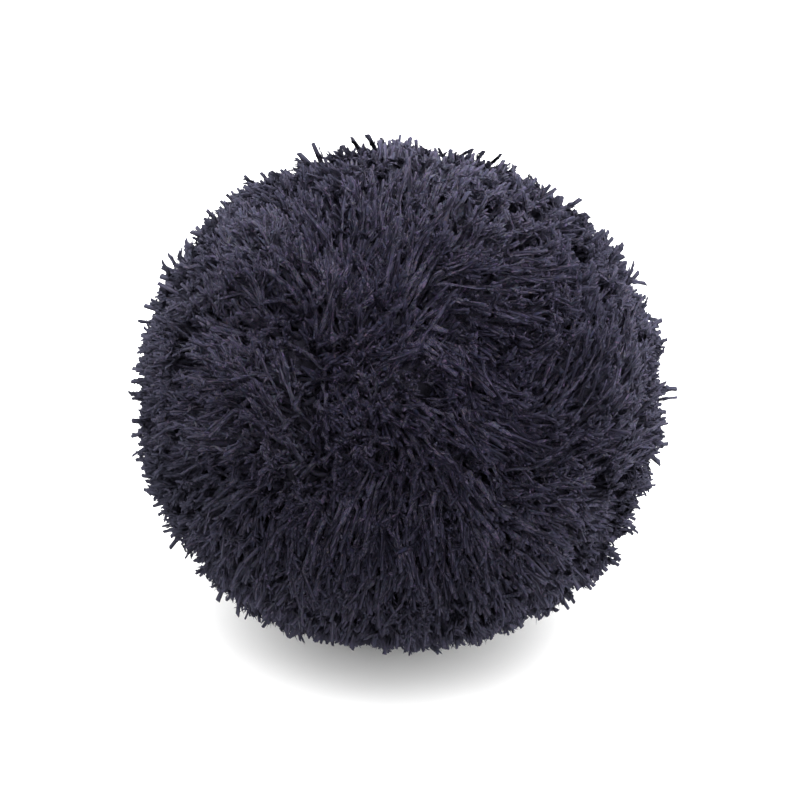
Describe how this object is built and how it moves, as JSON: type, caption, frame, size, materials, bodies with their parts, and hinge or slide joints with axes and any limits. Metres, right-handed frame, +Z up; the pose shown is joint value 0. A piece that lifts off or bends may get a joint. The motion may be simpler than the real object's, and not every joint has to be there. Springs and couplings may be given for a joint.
{
  "type": "pom pom",
  "caption": "Round pom pom of thick cut yarn that radiates from a hidden tie in its middle, trimmed to a ball for use as a trimming.",
  "frame": {"origin": "on the surface that the ball rests on, under its middle", "axes": "+Z up, -Y towards the front that the picture shows, +X to the right as seen from the front"},
  "size_m": [0.1009, 0.1019, 0.0981],
  "materials": {
    "yarn": "matt, fuzzy, dark navy-charcoal yarn"
  },
  "bodies": {
    "root": {"yarn_pile": "yarn"}
  },
  "joints": []
}
